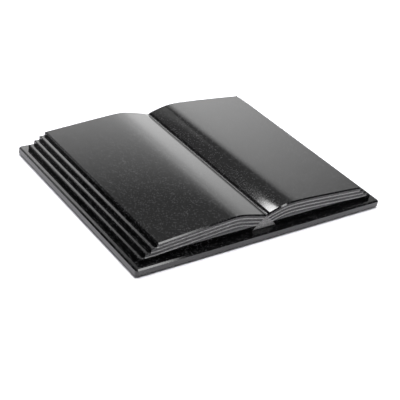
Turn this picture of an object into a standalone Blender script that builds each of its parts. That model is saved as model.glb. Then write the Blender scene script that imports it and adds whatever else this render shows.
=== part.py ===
"""Open-book memorial in polished black granite: a carved book block bedded on a thin base slab.

Metres, +Z up. +X runs across the two pages, +Y from the foot of the page to its head, and the
origin is on the ground under the middle of the base slab.
"""

import math

import bmesh
import bpy

# Base slab
SLAB_WIDTH = 0.400
SLAB_DEPTH = 0.307
SLAB_THICKNESS = 0.012
SLAB_ARRIS = 0.0012
ARRIS_SEGMENTS = 2

# Place of the book block on the slab
SIDE_MARGIN = 0.010
END_MARGIN = 0.0104
BED_JOINT = 0.0003

# Fore edges: each leaf is stepped back from the one below it, down to the cover board
LEAVES = 4
LEDGE_WIDTH = 0.0077
COVER_BOARD_HEIGHT = 0.0061
FORE_EDGE_HEIGHT = 0.0220
FORE_EDGE_ARRIS = 0.0008

# Open pages: a flank rises out of the gutter and a long slope falls to the fore edge, with a
# rounded crest between them. The left flank is cut a little flatter than the right one.
GUTTER_HEIGHT = 0.0205
LEFT_FLANK_SLOPE = 0.26
RIGHT_FLANK_SLOPE = 0.31
PAGE_SLOPE = 0.081
CREST_ROUNDING = 0.0017
PAGE_ARRIS = 0.0016
PAGE_STATIONS = 42

# Groove along the gutter: a long shoulder on its left, a flat bed and a steep shoulder on its
# right. Its depth is taken from the height at which the flanks would meet.
GROOVE_DEPTH = 0.0005
GROOVE_BED_WIDTH = 0.0022
LEFT_SHOULDER_WIDTH = 0.0060
RIGHT_SHOULDER_WIDTH = 0.0028

# Leaf lines incised in the head and tail ends of the block
LINE_WIDTH = 0.0018
LINE_DEPTH = 0.0007

# Raw spine wedge, set back in the head and tail ends under the gutter
SPINE_WIDTH = 0.0392
SPINE_LAND = 0.0020
SPINE_BULGE = 0.075
SPINE_STEPS = 8
SPINE_SETBACK = 0.0009
CUTTER_OVERRUN = 0.004

# Sizes that follow from the ones above
BLOCK_HALF_WIDTH = SLAB_WIDTH / 2 - SIDE_MARGIN
BLOCK_HALF_DEPTH = SLAB_DEPTH / 2 - END_MARGIN
BLOCK_BED = SLAB_THICKNESS + BED_JOINT
PAGE_REACH = BLOCK_HALF_WIDTH - (LEAVES - 1) * LEDGE_WIDTH
LEAF_PITCH = (FORE_EDGE_HEIGHT - COVER_BOARD_HEIGHT) / (LEAVES - 1)
GROOVE_BED_HEIGHT = GUTTER_HEIGHT - GROOVE_DEPTH

# Share of a ledge that is taken for a rounding error
ROUNDING = 1e-6


def clear_scene():
    """Removes whatever the file holds before the part is built."""
    for item in list(bpy.data.objects):
        bpy.data.objects.remove(item, do_unlink=True)


def granite(name, colour, roughness):
    """Returns a granite finish with its own colour and polish."""
    material = bpy.data.materials.new(name)
    material.use_nodes = True
    shader = material.node_tree.nodes["Principled BSDF"]
    shader.inputs["Base Color"].default_value = (*colour, 1.0)
    shader.inputs["Roughness"].default_value = roughness
    shader.inputs["Metallic"].default_value = 0.0
    return material


def add_object(name, mesh_data, material=None):
    """Turns a bmesh into a named object in the scene."""
    bmesh.ops.recalc_face_normals(mesh_data, faces=mesh_data.faces)
    mesh = bpy.data.meshes.new(name)
    mesh_data.to_mesh(mesh)
    mesh_data.free()
    if material:
        mesh.materials.append(material)
    part = bpy.data.objects.new(name, mesh)
    bpy.context.scene.collection.objects.link(part)
    return part


def page_height(x):
    """Height of the open page above the block's bed, at x from the gutter."""
    reach = min(abs(x), PAGE_REACH)
    flank = GUTTER_HEIGHT + (LEFT_FLANK_SLOPE if x < 0 else RIGHT_FLANK_SLOPE) * reach
    slope = FORE_EDGE_HEIGHT + PAGE_SLOPE * (PAGE_REACH - reach)
    return (flank + slope) / 2 - math.hypot((flank - slope) / 2, CREST_ROUNDING)


def surface_height(x):
    """Page height with the groove along the gutter taken out of it."""
    if x < 0:
        foot, lip = 0.0, -LEFT_SHOULDER_WIDTH
    else:
        foot, lip = GROOVE_BED_WIDTH, GROOVE_BED_WIDTH + RIGHT_SHOULDER_WIDTH
    share = max(0.0, (x - foot) / (lip - foot))
    if share >= 1:
        return page_height(x)
    return GROOVE_BED_HEIGHT + (page_height(lip) - GROOVE_BED_HEIGHT) * share


def page_stations(lip):
    """Distances from the gutter of one side's columns, from the groove's lip to the fore edge."""
    pages = [lip + (PAGE_REACH - lip) * i / PAGE_STATIONS for i in range(PAGE_STATIONS + 1)]
    return pages + [PAGE_REACH + LEDGE_WIDTH * i for i in range(1, LEAVES)]


def stations():
    """Places across the block at which the end face has a column of points."""
    left = page_stations(LEFT_SHOULDER_WIDTH)
    right = page_stations(GROOVE_BED_WIDTH + RIGHT_SHOULDER_WIDTH)
    return [-x for x in reversed(left)] + [0.0, GROOVE_BED_WIDTH] + right


def leaves_cut_away(x):
    """Number of leaves that stop short of a point on the fore edge."""
    ledges_passed = (abs(x) - PAGE_REACH) / LEDGE_WIDTH
    return max(0, math.ceil(ledges_passed - ROUNDING))


def column(x):
    """Points up one end face at x, from the bed to the surface, as (height, setback).

    Each leaf line is three points: a lip, the bottom of the cut and the other lip. The top line
    of a ledge has its lower lip alone, and the end of the page has an arris of its own.
    """
    page = page_height(x)
    pitch = min(LEAF_PITCH, (page - LINE_WIDTH) / (LEAVES - 1))
    cut_away = leaves_cut_away(x)
    points = [(0.0, 0.0)]
    for line in range(LEAVES - 1, max(cut_away, 1) - 1, -1):
        height = page - line * pitch
        points.append((height - LINE_WIDTH / 2, 0.0))
        points.append((height, LINE_DEPTH))
        points.append((height + LINE_WIDTH / 2, 0.0))
    if cut_away:
        return points[:-1]
    surface = surface_height(x)
    return points + [(surface - PAGE_ARRIS, 0.0), (surface, PAGE_ARRIS)]


def end_face(mesh_data):
    """Lays out the tail end of the block, one column of points at each station."""
    columns = []
    for x in stations():
        columns.append([mesh_data.verts.new((x, setback - BLOCK_HALF_DEPTH, height))
                        for height, setback in column(x)])
    for left, right in zip(columns, columns[1:]):
        for row in range(min(len(left), len(right)) - 1):
            mesh_data.faces.new((left[row], right[row], right[row + 1], left[row + 1]))


def fore_edge_arrises(mesh_data):
    """Finds the long outer edges of the leaves, left and right."""
    arrises = []
    for edge in mesh_data.edges:
        start, end = (vert.co for vert in edge.verts)
        runs_along = abs(start.y - end.y) > BLOCK_HALF_DEPTH
        above_bed = min(start.z, end.z) > COVER_BOARD_HEIGHT / 2
        if runs_along and above_bed and edge.calc_face_angle_signed() > math.radians(60):
            arrises.append(edge)
    return arrises


def spine_outline():
    """Outline of the spine wedge over its height, from one foot over its tip to the other."""
    tip = GROOVE_BED_HEIGHT - SPINE_LAND
    side = []
    for step in range(SPINE_STEPS + 1):
        fall = step / SPINE_STEPS
        half_width = SPINE_WIDTH / 2 * (fall + 4 * SPINE_BULGE * fall * (1 - fall))
        side.append((half_width, tip * (1 - fall)))
    side.append((SPINE_WIDTH / 2, -CUTTER_OVERRUN))
    return [(-x, z) for x, z in reversed(side[1:])] + side


def build_spine_cutter():
    """Cutter for the setback of the spine wedge at the head and at the tail."""
    mesh_data = bmesh.new()
    for end in (-1, 1):
        outside = end * (BLOCK_HALF_DEPTH + CUTTER_OVERRUN)
        inside = end * (BLOCK_HALF_DEPTH - SPINE_SETBACK)
        outline = [mesh_data.verts.new((x, outside, z)) for x, z in spine_outline()]
        cap = mesh_data.faces.new(outline)
        extruded = bmesh.ops.extrude_face_region(mesh_data, geom=[cap])
        moved = [item for item in extruded["geom"] if isinstance(item, bmesh.types.BMVert)]
        bmesh.ops.translate(mesh_data, verts=moved, vec=(0, inside - outside, 0))
    cutter = add_object("spine_cutter", mesh_data)
    cutter.location.z = BLOCK_BED
    cutter.hide_render = True
    cutter.display_type = "WIRE"
    return cutter


def build_book_block():
    """The open book, carved from one stone: pages, stepped fore edges, leaf lines and spine."""
    mesh_data = bmesh.new()
    end_face(mesh_data)
    extruded = bmesh.ops.extrude_face_region(mesh_data, geom=mesh_data.faces[:])
    for item in extruded["geom"]:
        if isinstance(item, bmesh.types.BMVert):
            item.co.y = -item.co.y
    bmesh.ops.recalc_face_normals(mesh_data, faces=mesh_data.faces)
    bmesh.ops.bevel(mesh_data, geom=fore_edge_arrises(mesh_data), offset=FORE_EDGE_ARRIS,
                    offset_type="OFFSET", segments=1, profile=0.5, affect="EDGES", material=-1)
    material = granite("book_granite", (0.022, 0.022, 0.024), 0.16)
    block = add_object("book_block", mesh_data, material)
    block.location.z = BLOCK_BED
    block.data.shade_smooth()
    block.data.set_sharp_from_angle(angle=math.radians(20))
    setback = block.modifiers.new("spine_setback", "BOOLEAN")
    setback.operation = "DIFFERENCE"
    setback.solver = "EXACT"
    setback.object = build_spine_cutter()
    return block


def build_base_slab():
    """The thin slab under the book, polished all round, with eased edges."""
    mesh_data = bmesh.new()
    bmesh.ops.create_cube(mesh_data, size=1.0)
    bmesh.ops.scale(mesh_data, vec=(SLAB_WIDTH, SLAB_DEPTH, SLAB_THICKNESS), verts=mesh_data.verts)
    bmesh.ops.translate(mesh_data, vec=(0, 0, SLAB_THICKNESS / 2), verts=mesh_data.verts)
    bmesh.ops.bevel(mesh_data, geom=mesh_data.edges[:], offset=SLAB_ARRIS, offset_type="OFFSET",
                    segments=ARRIS_SEGMENTS, profile=0.5, affect="EDGES", material=-1)
    return add_object("base_slab", mesh_data, granite("slab_granite", (0.020, 0.020, 0.022), 0.12))


def main():
    clear_scene()
    build_base_slab()
    build_book_block()


main()
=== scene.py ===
"""Looks of the open-book memorial: polished, honed, incised and sawn black granite.

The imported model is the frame. Both of its pieces, the base slab and the book block, are stood for
by finer meshes in the same place, each face of which carries the finish that the mason left on it.
Metres, +Z up, +X across the two pages, +Y from the foot of the page to its head.
"""

import logging
import math
from dataclasses import dataclass, field
from enum import Enum

import bmesh
import bpy
from mathutils import Matrix, Vector, noise


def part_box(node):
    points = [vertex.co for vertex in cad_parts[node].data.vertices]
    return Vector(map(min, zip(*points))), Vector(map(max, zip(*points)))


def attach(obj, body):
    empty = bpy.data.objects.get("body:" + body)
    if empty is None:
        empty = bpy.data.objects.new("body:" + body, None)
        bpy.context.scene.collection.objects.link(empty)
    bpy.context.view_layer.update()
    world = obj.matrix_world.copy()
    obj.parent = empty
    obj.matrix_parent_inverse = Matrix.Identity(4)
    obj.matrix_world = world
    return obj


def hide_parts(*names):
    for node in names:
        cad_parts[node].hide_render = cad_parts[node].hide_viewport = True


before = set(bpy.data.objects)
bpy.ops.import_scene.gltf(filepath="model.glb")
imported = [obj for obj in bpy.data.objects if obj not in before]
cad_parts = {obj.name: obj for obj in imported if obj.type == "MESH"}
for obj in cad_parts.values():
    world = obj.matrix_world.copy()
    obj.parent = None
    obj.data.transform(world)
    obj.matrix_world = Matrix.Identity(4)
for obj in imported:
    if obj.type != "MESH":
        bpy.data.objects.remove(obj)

LOG = logging.getLogger("book_memorial")
MM = 0.001
SHARP_ANGLE = math.radians(38)
WELD_DISTANCE = 1e-7
# Share of a ledge that is taken for a rounding error
ROUNDING = 1e-6
# Least cosine to an axis at which a face counts as square to it
FLAT = 0.9999
# Half the width of the unit grid that an end face is laid out from
GRID_HALF = 0.5

Colour = tuple[float, float, float]
Level = tuple[float, float]


class Finish(Enum):
    """How a face of the stone is worked. The value is the face's material index."""

    POLISHED = 0
    HONED = 1
    INCISED = 2
    SAWN = 3


def direction(azimuth: float, elevation: float) -> Vector:
    """Unit vector towards a place in the room.

    Args:
        azimuth: Degrees from +Y towards +X.
        elevation: Degrees above the horizon.

    Returns:
        The vector, in the frame's axes.
    """
    turn, rise = math.radians(azimuth), math.radians(elevation)
    level = math.cos(rise)
    return Vector((level * math.sin(turn), level * math.cos(turn), math.sin(rise)))


def limited(share: float) -> float:
    """A share held between 0 and 1."""
    return min(1.0, max(0.0, share))


class Wire:
    """A node's output socket, on which Python's operators add Math nodes."""

    def __init__(self, nodes: "NodeBench", socket: bpy.types.NodeSocket) -> None:
        """Keeps the socket and the bench it lies on."""
        self.nodes = nodes
        self.socket = socket

    def math(self, operation: str, *others: "Wire | float") -> "Wire":
        """Adds a Math node after this socket.

        Args:
            operation: The Math node's operation.
            others: The node's further operands.

        Returns:
            The node's result.
        """
        values = dict(enumerate((self, *others)))
        return self.nodes.add("ShaderNodeMath", {"operation": operation}, values)

    def __add__(self, other: "Wire | float") -> "Wire":
        """Sum."""
        return self.math("ADD", other)

    __radd__ = __add__

    def __mul__(self, other: "Wire | float") -> "Wire":
        """Product."""
        return self.math("MULTIPLY", other)

    __rmul__ = __mul__

    def sibling(self, output: str) -> "Wire":
        """Another output of this socket's node."""
        return Wire(self.nodes, self.socket.node.outputs[output])

    def over(self, low: float, high: float) -> "Wire":
        """Soft step.

        Args:
            low: The value at which the step begins.
            high: The value at which it ends.

        Returns:
            0 up to low, 1 from high on, and smooth in between.
        """
        settings = {"interpolation_type": "SMOOTHSTEP"}
        values = {"Value": self, "From Min": low, "From Max": high}
        return self.nodes.add("ShaderNodeMapRange", settings, values)


class NodeBench:
    """Lays out the nodes of one material or of the world."""

    def __init__(self, tree: bpy.types.NodeTree) -> None:
        """Takes a node tree and clears it."""
        self.tree = tree
        tree.nodes.clear()

    def add(self, kind: str, settings: dict | None = None, inputs: dict | None = None,
            output: str | int = 0) -> Wire:
        """Adds a node.

        Args:
            kind: The node's type.
            settings: The node's own properties, which are set first. Under "stops" it takes the
                positions and colours of a ramp.
            inputs: A value or a Wire for each named or numbered socket.
            output: The socket that the result is read from.

        Returns:
            That output socket.
        """
        node = self.tree.nodes.new(kind)
        for name, value in (settings or {}).items():
            if name == "stops":
                self.set_stops(node.color_ramp, value)
            else:
                setattr(node, name, value)
        for name, value in (inputs or {}).items():
            if isinstance(value, Wire):
                self.tree.links.new(value.socket, node.inputs[name])
            else:
                node.inputs[name].default_value = value
        return Wire(self, node.outputs[output]) if node.outputs else Wire(self, None)

    @staticmethod
    def set_stops(ramp: bpy.types.ColorRamp, stops: list[tuple[float, Colour]]) -> None:
        """Gives a colour ramp its stops.

        Args:
            ramp: The ramp, which has two stops to begin with.
            stops: Position and colour of each stop, in rising order.
        """
        while len(ramp.elements) < len(stops):
            ramp.elements.new(1.0)
        for element, (position, colour) in zip(ramp.elements, stops):
            element.position = position
            element.color = (*colour, 1.0)


@dataclass(frozen=True)
class StoneFinish:
    """One way of working the stone: its crystals, their colours, the gloss and the relief.

    Sizes are in metres. A crystal is picked by a random number from 0 to 1, and the flecks are
    the crystals whose number is above fleck_from. Below it the colour goes from dark to grey,
    which is reached at grey_share of fleck_from.
    """

    name: str
    dark: Colour
    grey: Colour
    fleck: Colour
    crystal: float
    fleck_from: float
    roughness: float
    roughness_spread: float
    relief: float
    relief_grain: float
    grey_share: float = 0.6
    fleck_blend: float = 0.02
    refraction: float = 1.55
    cloud_size: float = 0.060
    cloud_depth: float = 0.35
    noise_detail: float = 3.0

    def material(self) -> bpy.types.Material:
        """Builds the finish's node material.

        Returns:
            The material, whose patterns read Object coordinates.
        """
        material = bpy.data.materials.new(self.name)
        material.use_nodes = True
        bench = NodeBench(material.node_tree)
        place = bench.add("ShaderNodeTexCoord", output="Object")
        crystals = bench.add("ShaderNodeTexVoronoi", {"feature": "F1"},
                             {"Vector": place, "Scale": 1 / self.crystal, "Randomness": 1.0},
                             output="Color")
        pick = bench.add("ShaderNodeSeparateColor", {}, {"Color": crystals}, output="Red")
        gloss = pick.sibling("Green")
        clouds = self.soft_noise(bench, place, self.cloud_size)
        depth = clouds * self.cloud_depth + (1 - self.cloud_depth / 2)
        stops = [(0.0, self.dark), (self.fleck_from * self.grey_share, self.grey),
                 (self.fleck_from, self.grey), (self.fleck_from + self.fleck_blend, self.fleck)]
        colour = bench.add("ShaderNodeValToRGB", {"stops": stops}, {"Fac": pick}, output="Color")
        shade = bench.add("ShaderNodeVectorMath", {"operation": "SCALE"},
                          {0: colour, "Scale": depth}, output="Vector")
        grain = self.soft_noise(bench, place, self.relief_grain)
        bump = bench.add("ShaderNodeBump", {},
                         {"Height": grain, "Strength": 1.0, "Distance": self.relief},
                         output="Normal")
        shader = bench.add("ShaderNodeBsdfPrincipled", {}, {
            "Base Color": shade,
            "Roughness": gloss * self.roughness_spread + self.roughness,
            "Normal": bump,
            "IOR": self.refraction,
            "Metallic": 0.0,
        }, output="BSDF")
        bench.add("ShaderNodeOutputMaterial", {}, {"Surface": shader})
        return material

    def soft_noise(self, bench: NodeBench, place: Wire, size: float) -> Wire:
        """Adds a soft noise.

        Args:
            bench: The material's nodes.
            place: Where the noise is read.
            size: Size of its largest blots.

        Returns:
            The noise, around a half.
        """
        values = {"Vector": place, "Scale": 1 / size, "Detail": self.noise_detail}
        return bench.add("ShaderNodeTexNoise", {}, values)


POLISHED = StoneFinish("polished_granite", dark=(0.0006, 0.0006, 0.0007),
                       grey=(0.0018, 0.0018, 0.0020), fleck=(0.026, 0.026, 0.027),
                       crystal=1.2 * MM, fleck_from=0.88, roughness=0.045, roughness_spread=0.03,
                       relief=0.008 * MM, relief_grain=1.3 * MM)
HONED = StoneFinish("honed_granite", dark=(0.009, 0.009, 0.009), grey=(0.019, 0.019, 0.019),
                    fleck=(0.070, 0.070, 0.071), crystal=1.0 * MM, fleck_from=0.86,
                    roughness=0.50, roughness_spread=0.15, relief=0.03 * MM,
                    relief_grain=0.9 * MM)
INCISED = StoneFinish("incised_granite", dark=(0.190, 0.190, 0.188), grey=(0.310, 0.310, 0.307),
                      fleck=(0.460, 0.460, 0.458), crystal=0.7 * MM, fleck_from=0.80,
                      roughness=0.80, roughness_spread=0.10, relief=0.05 * MM,
                      relief_grain=0.6 * MM)
SAWN = StoneFinish("sawn_granite", dark=(0.150, 0.150, 0.148), grey=(0.240, 0.240, 0.238),
                   fleck=(0.360, 0.360, 0.357), crystal=1.0 * MM, fleck_from=0.78,
                   roughness=0.85, roughness_spread=0.10, relief=0.06 * MM,
                   relief_grain=1.1 * MM)


class StonePiece:
    """What the memorial's pieces share: a mesh, its finishes and its place in the frame."""

    name: str
    finishes: tuple[StoneFinish, ...]

    def mesh_data(self) -> bmesh.types.BMesh:
        """Shapes the piece, with a material index on each face."""
        raise NotImplementedError

    def make(self, node: str, slot: str) -> bpy.types.Object:
        """Builds the piece, dresses it and lets it stand for its CAD node.

        Args:
            node: The CAD node that the piece replaces.
            slot: Name of the piece's material slot; not used.

        Returns:
            The finished object, which rides on the body.
        """
        shape = self.mesh_data()
        bmesh.ops.recalc_face_normals(shape, faces=shape.faces)
        mesh = bpy.data.meshes.new(self.name)
        shape.to_mesh(mesh)
        shape.free()
        for finish in self.finishes:
            mesh.materials.append(finish.material())
        mesh.shade_smooth()
        mesh.set_sharp_from_angle(angle=SHARP_ANGLE)
        piece = bpy.data.objects.new(self.name, mesh)
        bpy.context.scene.collection.objects.link(piece)
        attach(piece, "root")
        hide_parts(node)
        LOG.info("%s: %d faces, %d finishes", piece.name, len(mesh.polygons), len(self.finishes))
        return piece


@dataclass
class BaseSlab(StonePiece):
    """The thin slab under the book, with flat arrises above and below and rounded corners."""

    low: Vector
    high: Vector
    top_arris: float = 1.8 * MM
    foot_arris: float = 2.5 * MM
    corner_radius: float = 3.0 * MM
    corner_segments: int = 5
    flat_margin: float = 1.0 * MM
    edge_band: float = 1.0 * MM
    name: str = "polished_slab"
    finishes: tuple[StoneFinish, ...] = (POLISHED,)

    def ease(self, shape: bmesh.types.BMesh, lowest: float, highest: float, size: float,
             segments: int) -> None:
        """Takes off the edges that lie within a band of heights.

        Args:
            shape: The slab.
            lowest: Bottom of the band.
            highest: Top of the band.
            size: How far the edges are taken back.
            segments: 1 for a flat arris, more for a round one.
        """
        edges = []
        for edge in shape.edges:
            start, end = (vert.co.z for vert in edge.verts)
            if lowest < (start + end) / 2 < highest:
                edges.append(edge)
        bmesh.ops.bevel(shape, geom=edges, offset=size, offset_type="OFFSET", segments=segments,
                        profile=0.5, affect="EDGES", material=-1)

    def mesh_data(self) -> bmesh.types.BMesh:
        """Shapes the slab.

        Returns:
            A block with eased edges, whose broad faces have a narrow margin that keeps them flat.
        """
        shape = bmesh.new()
        bmesh.ops.create_cube(shape, size=1.0)
        bmesh.ops.scale(shape, vec=self.high - self.low, verts=shape.verts)
        bmesh.ops.translate(shape, vec=(self.high + self.low) / 2, verts=shape.verts)
        bottom, top, band = self.low.z, self.high.z, self.edge_band
        self.ease(shape, bottom + band, top - band, self.corner_radius, self.corner_segments)
        self.ease(shape, top - band, top + band, self.top_arris, 1)
        self.ease(shape, bottom - band, bottom + band, self.foot_arris, 1)
        flats = [face for face in shape.faces if max(map(abs, face.normal)) > FLAT]
        bmesh.ops.inset_individual(shape, faces=flats, thickness=self.flat_margin,
                                   use_even_offset=True)
        return shape


@dataclass(frozen=True)
class PageSection:
    """Section across one page: a flank out of the gutter, a slope to the fore edge, and a round
    crest between them."""

    gutter_height: float
    flank_slope: float
    page_slope: float
    edge_height: float
    crest_rounding: float

    def height(self, reach: float, page_reach: float) -> float:
        """Height of the page.

        Args:
            reach: Distance from the gutter.
            page_reach: Distance of the fore edge from the gutter.

        Returns:
            The height above the block's bed.
        """
        flank = self.gutter_height + self.flank_slope * reach
        slope = self.edge_height + self.page_slope * (page_reach - reach)
        return (flank + slope) / 2 - math.hypot((flank - slope) / 2, self.crest_rounding)


@dataclass
class BookBlock(StonePiece):
    """The open book, cut from one stone.

    Heights are above the block's bed, and x is measured from the gutter. An end face is a grid of
    columns across the book and rows up it. The rows follow the page and its leaf lines, and the
    columns make way for the spine wedge.
    """

    low: Vector
    high: Vector

    # Pages and stepped fore edges
    leaves: int = 4
    ledge_width: float = 7.7 * MM
    board_height: float = 6.1 * MM
    left_page: PageSection = PageSection(gutter_height=20.5 * MM, flank_slope=0.26,
                                         page_slope=0.081, edge_height=22.0 * MM,
                                         crest_rounding=1.7 * MM)
    right_page: PageSection = PageSection(gutter_height=21.1 * MM, flank_slope=0.36,
                                          page_slope=0.077, edge_height=22.6 * MM,
                                          crest_rounding=3.8 * MM)
    page_arris: float = 1.6 * MM
    ledge_arris: float = 1.0 * MM
    corner_ease: float = 0.35 * MM
    foot_ease: float = 0.4 * MM
    margin: float = 0.2 * MM

    # Groove along the gutter
    left_shoulder: float = 6.0 * MM
    right_shoulder: float = 5.0 * MM
    gutter_honed_width: float = 1.8 * MM
    gutter_bed_width: float = 2.2 * MM
    gutter_bed_height: float = 20.0 * MM

    # Leaf lines. The rounding is the distance from the middle and the depth of its points.
    line_half_width: float = 0.9 * MM
    line_depth: float = 0.7 * MM
    line_rounding: tuple[Level, ...] = ((0.62 * MM, 0.13 * MM), (0.30 * MM, 0.42 * MM))

    # Spine wedge, whose setback and relief die away towards its sides
    spine_half_width: float = 19.6 * MM
    spine_bulge: float = 0.075
    spine_setback: float = 0.6 * MM
    spine_setback_reach: float = 2.4 * MM
    spine_relief: float = 0.09 * MM
    spine_grain: float = 1.6 * MM
    spine_fineness: float = 2.3
    spine_calm_power: int = 8
    spine_spread: float = 42.0 * MM

    # Arc under the honed part of the head and tail, which rises inwards and dips by the wedge
    honing_crown: float = 4.1 * MM
    honing_from: float = 180.0 * MM
    honing_to: float = 50.0 * MM
    honing_dip: float = 3.3 * MM
    honing_dip_from: float = 45.0 * MM
    honing_dip_width: float = 30.0 * MM
    honing_dip_limit: float = 1.2

    # Fineness of the mesh
    near_step: float = 1.0 * MM
    near_reach: float = 60.0 * MM
    far_step: float = 2.4 * MM
    polished_steps: int = 4
    spine_columns: int = 26
    settling_rounds: int = 24
    end_loops: tuple[float, ...] = (1.8 * MM, 3.2 * MM)

    name: str = "book_pages"
    finishes: tuple[StoneFinish, ...] = (POLISHED, HONED, INCISED, SAWN)

    # Worked out from the sizes above
    half_width: float = field(init=False)
    half_depth: float = field(init=False)
    bed: float = field(init=False)
    page_reach: float = field(init=False)
    leaf_pitch: float = field(init=False)
    spine_tip: float = field(init=False)
    line_rows: tuple[Level, ...] = field(init=False)
    ledge_arris_rows: tuple[Level, ...] = field(init=False)
    page_arris_rows: tuple[Level, ...] = field(init=False)
    bands: list[Finish] = field(init=False)
    middles: list[int] = field(init=False)

    def __post_init__(self) -> None:
        """Works out the sizes that follow from the others."""
        self.half_width = self.high.x
        self.half_depth = self.high.y
        self.bed = self.low.z
        self.page_reach = self.half_width - (self.leaves - 1) * self.ledge_width
        self.leaf_pitch = (self.left_page.edge_height - self.board_height) / (self.leaves - 1)
        self.spine_tip = self.gutter_bed_height - self.page_arris - self.margin
        self.line_rows = ((self.line_half_width + self.margin, 0.0), (self.line_half_width, 0.0),
                          *self.line_rounding, (0.0, self.line_depth))
        self.ledge_arris_rows = self.arris_rows(self.ledge_arris)
        self.page_arris_rows = self.arris_rows(self.page_arris)
        self.bands, self.middles = self.row_bands()

    def arris_rows(self, size: float) -> tuple[Level, ...]:
        """Rows of a flat arris along an upper edge, as many as the lower half of a line has.

        Args:
            size: How far the edge is taken back.

        Returns:
            Drop below the edge's top and setback of each row, from the lowest up.
        """
        rows = [(size + self.margin, 0.0)]
        steps = len(self.line_rows) - len(rows) - 1
        for step in range(steps + 1):
            setback = size * step / steps
            rows.append((size - setback, setback))
        return tuple(rows)

    def page_height(self, x: float) -> float:
        """Height of the open page at x."""
        page = self.left_page if x < 0 else self.right_page
        return page.height(min(abs(x), self.page_reach), self.page_reach)

    def surface_height(self, x: float) -> float:
        """Height of the page with the groove in the gutter taken out of it.

        Args:
            x: Place across the book.

        Returns:
            The height above the block's bed.
        """
        if x < 0:
            lip, foot = -self.left_shoulder, 0.0
        else:
            lip, foot = self.right_shoulder, self.gutter_bed_width
        share = limited((x - foot) / (lip - foot))
        groove = self.gutter_bed_height * (1 - share) + self.page_height(lip) * share
        return groove if share < 1 else self.page_height(x)

    def top_finish(self, x: float) -> Finish:
        """Finish of the upper side, where the groove's bed is honed, and sawn along its right.

        Args:
            x: Place across the book.

        Returns:
            The finish.
        """
        if not 0 < x < self.gutter_bed_width:
            return Finish.POLISHED
        return Finish.HONED if x < self.gutter_honed_width else Finish.SAWN

    def spine_reach(self, height: float) -> float:
        """Half the width of the spine wedge at a height."""
        fall = limited(1 - height / self.spine_tip)
        return self.spine_half_width * (fall + 4 * self.spine_bulge * fall * (1 - fall))

    def honing_height(self, x: float) -> float:
        """Height of the arc where the honed end meets the polished band under it.

        Args:
            x: Place across the book.

        Returns:
            The height above the block's bed.
        """
        reach = abs(x)
        share = limited((self.honing_from - reach) / (self.honing_from - self.honing_to))
        crown = self.honing_crown * share * share * (3 - 2 * share)
        dip = max(0.0, (self.honing_dip_from - reach) / self.honing_dip_width)
        return self.board_height + crown - self.honing_dip * min(dip, self.honing_dip_limit) ** 2

    def leaves_cut_away(self, x: float) -> int:
        """Number of leaves that stop short of x on the fore edge."""
        passed = (abs(x) - self.page_reach) / self.ledge_width
        return max(0, math.ceil(passed - ROUNDING))

    def levels(self, x: float) -> list[Level]:
        """Rows of one column of the end face.

        Args:
            x: Place of the column across the book.

        Returns:
            Height and setback of each row, from the bed up. Every column has as many.
        """
        page = self.page_height(x)
        pitch = min(self.leaf_pitch, (page - 2 * self.line_half_width) / (self.leaves - 1))
        top_line = self.leaves_cut_away(x)
        lowest = page - (self.leaves - 1) * pitch - self.line_rows[0][0]
        arc = min(self.honing_height(x), lowest - self.margin / 2)
        rows = [(0.0, self.foot_ease), (self.foot_ease, 0.0)]
        for step in range(1, self.polished_steps + 1):
            share = step / self.polished_steps
            rows.append((self.foot_ease + (arc - self.foot_ease) * share, 0.0))
        rows.append(((arc + lowest) / 2, 0.0))
        for line in range(self.leaves - 1, -1, -1):
            height = self.surface_height(x) if line == 0 else page - line * pitch
            below = self.line_rows
            if line == top_line:
                below = self.ledge_arris_rows if line else self.page_arris_rows
            rows += [(height - drop, setback) for drop, setback in below]
            if line:
                rows += [(height + rise, setback) for rise, setback in self.line_rows[-2::-1]]
        return rows

    def row_bands(self) -> tuple[list[Finish], list[int]]:
        """Plan of the rows.

        Returns:
            The finish of each band between two rows, and for each leaf line the number of the row
            along its middle, counted from the top line down.
        """
        cut_bands = len(self.line_rows) - 2
        bands = [Finish.POLISHED] * (1 + self.polished_steps) + [Finish.HONED, Finish.HONED]
        middles = []
        for line in range(self.leaves - 1, -1, -1):
            cut = [Finish.INCISED if line else Finish.POLISHED] * cut_bands
            bands += [Finish.HONED] + cut
            middles.insert(0, len(bands))
            if line:
                bands += cut + [Finish.HONED, Finish.HONED]
        return bands, middles

    def arris_foot(self, cut_away: int) -> int:
        """Number of the row at the foot of the arris, where some leaves are cut away."""
        return self.middles[cut_away] - len(self.line_rows) + 1

    def stations(self, side: int) -> list[float]:
        """Columns of one side of the end face.

        Args:
            side: -1 left of the gutter, 1 right of it.

        Returns:
            The distance of each column from the gutter.
        """
        groove = (self.gutter_honed_width, self.gutter_bed_width, self.right_shoulder)
        shoulder = (self.left_shoulder,) if side < 0 else groove
        page_end = self.page_reach - self.page_arris - 2 * self.margin
        breaks = [0.0, *shoulder, self.near_reach, page_end]
        steps = [self.near_step] * (len(breaks) - 2) + [self.far_step]
        stations = [0.0]
        for start, end, step in zip(breaks, breaks[1:], steps):
            count = round((end - start) / step)
            stations += [start + (end - start) * i / count for i in range(1, count + 1)]
        edge = self.page_reach
        stations += [page_end + self.margin, edge]
        for _ in range(self.leaves - 1):
            edge += self.ledge_width
            foot = edge - self.ledge_arris - self.margin
            stations += [edge - self.ledge_width / 2, foot - self.margin, foot, edge]
        return stations

    def settle(self, side: int, station: float, row: int) -> tuple[float, Level]:
        """Moves a point of the grid aside for the spine wedge, along its own row.

        Args:
            side: -1 left of the gutter, 1 right of it.
            station: The column's distance from the gutter above the wedge.
            row: The number of the row.

        Returns:
            The point's x, and its height and setback.
        """
        x = side * station
        level = self.levels(x)[row]
        for _ in range(self.settling_rounds):
            reach = self.spine_reach(level[0])
            x = side * (station + reach * max(0.0, 1 - station / self.spine_spread))
            level = self.levels(x if abs(x) > WELD_DISTANCE else 0.0)[row]
        return x, level

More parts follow.
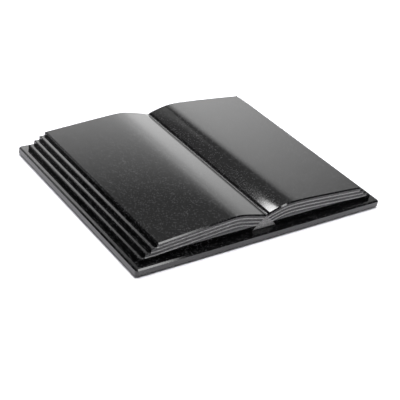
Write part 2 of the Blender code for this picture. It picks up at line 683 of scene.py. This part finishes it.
    def outer_column(self, side: int, station: float) -> list[Vector]:
        """Points of a column beside the wedge, from the bed up.

        Args:
            side: -1 left of the gutter, 1 right of it.
            station: The column's distance from the gutter above the wedge.

        Returns:
            The points on the tail end of the block.
        """
        cut = self.leaves_cut_away(station)
        edge_of_leaf = abs(station - self.page_reach - cut * self.ledge_width) < WELD_DISTANCE
        riser_from = self.middles[cut + 1] if cut + 1 < self.leaves else 0
        points = []
        for row in range(len(self.levels(station))):
            if station < self.spine_spread:
                x, (height, setback) = self.settle(side, station, row)
            else:
                x = side * station
                height, setback = self.levels(x)[row]
            if edge_of_leaf:
                in_arris = self.arris_foot(cut) <= row <= self.middles[cut]
                if in_arris or row == 0:
                    x -= side * setback
                if row >= riser_from:
                    setback = max(setback, self.corner_ease)
            points.append(Vector((x, setback - self.half_depth, self.bed + height)))
        return points

    def spine_column(self, share: float, left: list[Vector], right: list[Vector]) -> list[Vector]:
        """Points of a column inside the wedge, set back with a rough relief.

        Args:
            share: -1 at the wedge's left side, 1 at its right side.
            left: The column along the left side.
            right: The column along the right side.

        Returns:
            The points on the tail end of the block.
        """
        points = []
        for start, end in zip(left, right):
            point = start.lerp(end, (share + 1) / 2)
            body = min(1.0, (end.x - start.x) / 2 / self.spine_setback_reach)
            rough = noise.noise(point / self.spine_grain)
            rough += noise.noise(point * self.spine_fineness / self.spine_grain) / 2
            relief = self.spine_relief * rough * (1 - share ** self.spine_calm_power)
            point.y += body * (self.spine_setback + relief)
            points.append(point)
        return points

    def columns(self) -> list[tuple[float, list[Vector]]]:
        """All columns of the tail end, from left to right.

        Returns:
            The nominal place and the points of each. Columns of the wedge are at 0.
        """
        left, right, inside = [], [], []
        for station in reversed(self.stations(-1)):
            left.append((-station, self.outer_column(-1, station)))
        for station in self.stations(1):
            right.append((station, self.outer_column(1, station)))
        for i in range(self.spine_columns + 1):
            share = 2 * i / self.spine_columns - 1
            inside.append((0.0, self.spine_column(share, left[-1][1], right[0][1])))
        return left + inside + right

    def end_face(self) -> bmesh.types.BMesh:
        """Shapes the tail end of the block.

        Returns:
            The end as an open sheet, with the finish of each face.
        """
        columns = self.columns()
        across, up = len(columns) - 1, len(self.bands)
        shape = bmesh.new()
        bmesh.ops.create_grid(shape, x_segments=across, y_segments=up, size=GRID_HALF)
        gone = []
        for face in shape.faces:
            middle = face.calc_center_median()
            column = int((middle.x + GRID_HALF) * across)
            band = int((middle.y + GRID_HALF) * up)
            sides = columns[column][0], columns[column + 1][0]
            self.dress_face(face, sides, band)
            if band >= self.middles[self.leaves_cut_away(max(map(abs, sides)))]:
                gone.append(face)
        for vert in shape.verts:
            column = round((vert.co.x + GRID_HALF) * across)
            row = round((vert.co.y + GRID_HALF) * up)
            vert.co = columns[column][1][row]
        bmesh.ops.delete(shape, geom=gone, context="FACES")
        bmesh.ops.remove_doubles(shape, verts=shape.verts, dist=WELD_DISTANCE)
        bmesh.ops.dissolve_degenerate(shape, edges=shape.edges, dist=WELD_DISTANCE)
        return shape

    def dress_face(self, face: bmesh.types.BMFace, sides: tuple[float, float], band: int) -> None:
        """Gives a face of the end its finish.

        Args:
            face: The face.
            sides: The nominal places of the columns to its left and right, both 0 in the wedge.
            band: The number of the row under it.
        """
        cut = self.leaves_cut_away(max(map(abs, sides)))
        finish = self.bands[band]
        if sides == (0.0, 0.0):
            finish = Finish.SAWN
        elif self.arris_foot(cut) <= band < self.middles[cut]:
            finish = self.top_finish(sum(sides) / 2)
        face.material_index = finish.value

    def mesh_data(self) -> bmesh.types.BMesh:
        """Shapes the block from one end to the other.

        Returns:
            A closed solid, with the finish of each face.
        """
        shape = self.end_face()
        extruded = bmesh.ops.extrude_face_region(shape, geom=shape.faces[:])
        for item in extruded["geom"]:
            if isinstance(item, bmesh.types.BMVert):
                item.co.y = -item.co.y
        for face in shape.faces:
            along = [vert.co.y for vert in face.verts]
            if max(along) - min(along) > self.half_depth:
                middle = face.calc_center_median()
                underside = middle.z < self.bed + self.foot_ease
                finish = Finish.POLISHED if underside else self.top_finish(middle.x)
                face.material_index = finish.value
        for inset in self.end_loops:
            for end in (-1, 1):
                place = Vector((0, end * (self.half_depth - inset), 0))
                everything = shape.verts[:] + shape.edges[:] + shape.faces[:]
                bmesh.ops.bisect_plane(shape, geom=everything, plane_co=place, plane_no=(0, 1, 0),
                                       dist=WELD_DISTANCE)
        return shape


def facing(place: Wire, towards: Vector) -> Wire:
    """Cosine between a direction looked in and a fixed one."""
    return place.nodes.add("ShaderNodeVectorMath", {"operation": "DOT_PRODUCT"},
                           {0: place, 1: towards}, output="Value")


@dataclass(frozen=True)
class BrightPanel:
    """A soft-edged bright part of the studio around the stone.

    It lies under a top edge, which is a level line at its highest where the top azimuth points,
    and to the left of a side edge, which leans by some degrees. Softness is the width of an
    edge's fade, as a share of the distance.
    """

    level: float
    top_azimuth: float
    top_elevation: float
    top_softness: float
    side_azimuth: float
    side_softness: float
    side_lean: float = 0.0

    def brightness(self, place: Wire) -> Wire:
        """Adds the panel's brightness by direction.

        Args:
            place: The direction looked in.

        Returns:
            The brightness.
        """
        under = direction(self.top_azimuth, self.top_elevation - 90)
        near = direction(self.side_azimuth - 90, -self.side_lean)
        top = facing(place, under).over(-self.top_softness / 2, self.top_softness / 2)
        side = facing(place, near).over(-self.side_softness / 2, self.side_softness / 2)
        return top * side * self.level


@dataclass(frozen=True)
class Lamp:
    """A round soft-edged lamp. Its inner and outer radius are in degrees."""

    level: float
    azimuth: float
    elevation: float
    inner: float
    outer: float

    def brightness(self, place: Wire) -> Wire:
        """Adds the lamp's brightness by direction."""
        edge, core = (math.cos(math.radians(angle)) for angle in (self.outer, self.inner))
        return facing(place, direction(self.azimuth, self.elevation)).over(edge, core) * self.level


@dataclass
class Studio:
    """Plain pale floor, and the bright things in the room that the polished stone mirrors.

    Levels are the brightness of the world. A dim grey fills the rest of the room.
    """

    dim: float = 0.06
    far_haze: BrightPanel = BrightPanel(level=0.33, top_azimuth=-36.0, top_elevation=90.0,
                                        top_softness=0.30, side_azimuth=175.0,
                                        side_softness=0.30)
    back_wall: BrightPanel = BrightPanel(level=2.81, top_azimuth=33.1, top_elevation=34.3,
                                         top_softness=0.20, side_azimuth=55.0,
                                         side_softness=0.50, side_lean=16.6)
    tall_panel: BrightPanel = BrightPanel(level=0.80, top_azimuth=20.0, top_elevation=43.5,
                                          top_softness=0.084, side_azimuth=26.4,
                                          side_softness=0.062)
    overhead: Lamp = Lamp(level=6.3, azimuth=0.0, elevation=90.0, inner=26.5, outer=29.5)
    back_lamp: Lamp = Lamp(level=17.0, azimuth=24.0, elevation=59.3, inner=9.0, outer=9.7)
    side_lamp: Lamp = Lamp(level=7.0, azimuth=148.5, elevation=43.0, inner=2.0, outer=5.0)
    floor_size: float = 14.0
    floor_colour: Colour = (0.83, 0.82, 0.86)
    floor_roughness: float = 0.9
    floor_gloss: float = 0.1

    def light(self) -> None:
        """Makes the world that lights the stone."""
        world = bpy.data.worlds.new("studio")
        world.use_nodes = True
        bpy.context.scene.world = world
        bench = NodeBench(world.node_tree)
        place = bench.add("ShaderNodeTexCoord", output="Generated")
        glow = self.far_haze.brightness(place).math("MAXIMUM", self.dim)
        for panel in (self.back_wall, self.tall_panel):
            glow = glow.math("MAXIMUM", panel.brightness(place))
        for lamp in (self.overhead, self.back_lamp, self.side_lamp):
            glow = glow + lamp.brightness(place)
        background = bench.add("ShaderNodeBackground", {},
                               {"Color": (1.0, 1.0, 1.0, 1.0), "Strength": glow})
        bench.add("ShaderNodeOutputWorld", {}, {"Surface": background})

    def lay_floor(self) -> None:
        """Lays the pale floor that the slab rests on."""
        shape = bmesh.new()
        bmesh.ops.create_grid(shape, x_segments=1, y_segments=1, size=self.floor_size / 2)
        mesh = bpy.data.meshes.new("floor")
        shape.to_mesh(mesh)
        shape.free()
        material = bpy.data.materials.new("pale_floor")
        material.use_nodes = True
        bench = NodeBench(material.node_tree)
        shader = bench.add("ShaderNodeBsdfPrincipled", {}, {
            "Base Color": (*self.floor_colour, 1.0),
            "Roughness": self.floor_roughness,
            "Specular IOR Level": self.floor_gloss,
        }, output="BSDF")
        bench.add("ShaderNodeOutputMaterial", {}, {"Surface": shader})
        mesh.materials.append(material)
        floor = bpy.data.objects.new("floor", mesh)
        bpy.context.scene.collection.objects.link(floor)


@dataclass(frozen=True)
class Viewpoint:
    """Where the photograph was taken from, in metres and degrees, and its lens in millimetres."""

    place: tuple[float, float, float] = (-0.74761, -0.88599, 0.69219)
    azimuth: float = 40.448
    elevation: float = -31.947
    roll: float = 10.031
    lens: float = 87.65
    sensor: float = 36.0
    nearest: float = 0.05
    farthest: float = 50.0

    def set_up(self) -> bpy.types.Object:
        """Makes the camera.

        Returns:
            The camera, which is made the scene's own.
        """
        forward = direction(self.azimuth, self.elevation)
        level = forward.cross(Vector((0, 0, 1))).normalized()
        upright = level.cross(forward)
        turn = math.radians(self.roll)
        right = math.cos(turn) * level + math.sin(turn) * upright
        up = right.cross(forward)
        data = bpy.data.cameras.new("camera")
        data.lens = self.lens
        data.sensor_width = self.sensor
        data.clip_start = self.nearest
        data.clip_end = self.farthest
        camera = bpy.data.objects.new("camera", data)
        axes = Matrix((right, up, -forward)).transposed()
        camera.matrix_world = Matrix.Translation(self.place) @ axes.to_4x4()
        bpy.context.scene.collection.objects.link(camera)
        bpy.context.scene.camera = camera
        return camera


def main() -> None:
    """Builds the stage and the two pieces of the memorial."""
    logging.basicConfig(level=logging.INFO, format="%(name)s %(message)s")
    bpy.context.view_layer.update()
    bpy.context.scene.view_settings.view_transform = "Standard"
    Viewpoint().set_up()
    studio = Studio()
    studio.light()
    studio.lay_floor()
    BaseSlab(*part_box("base_slab")).make("base_slab", "slab_granite")
    BookBlock(*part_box("book_block")).make("book_block", "book_granite")


if __name__ == "__main__":
    main()
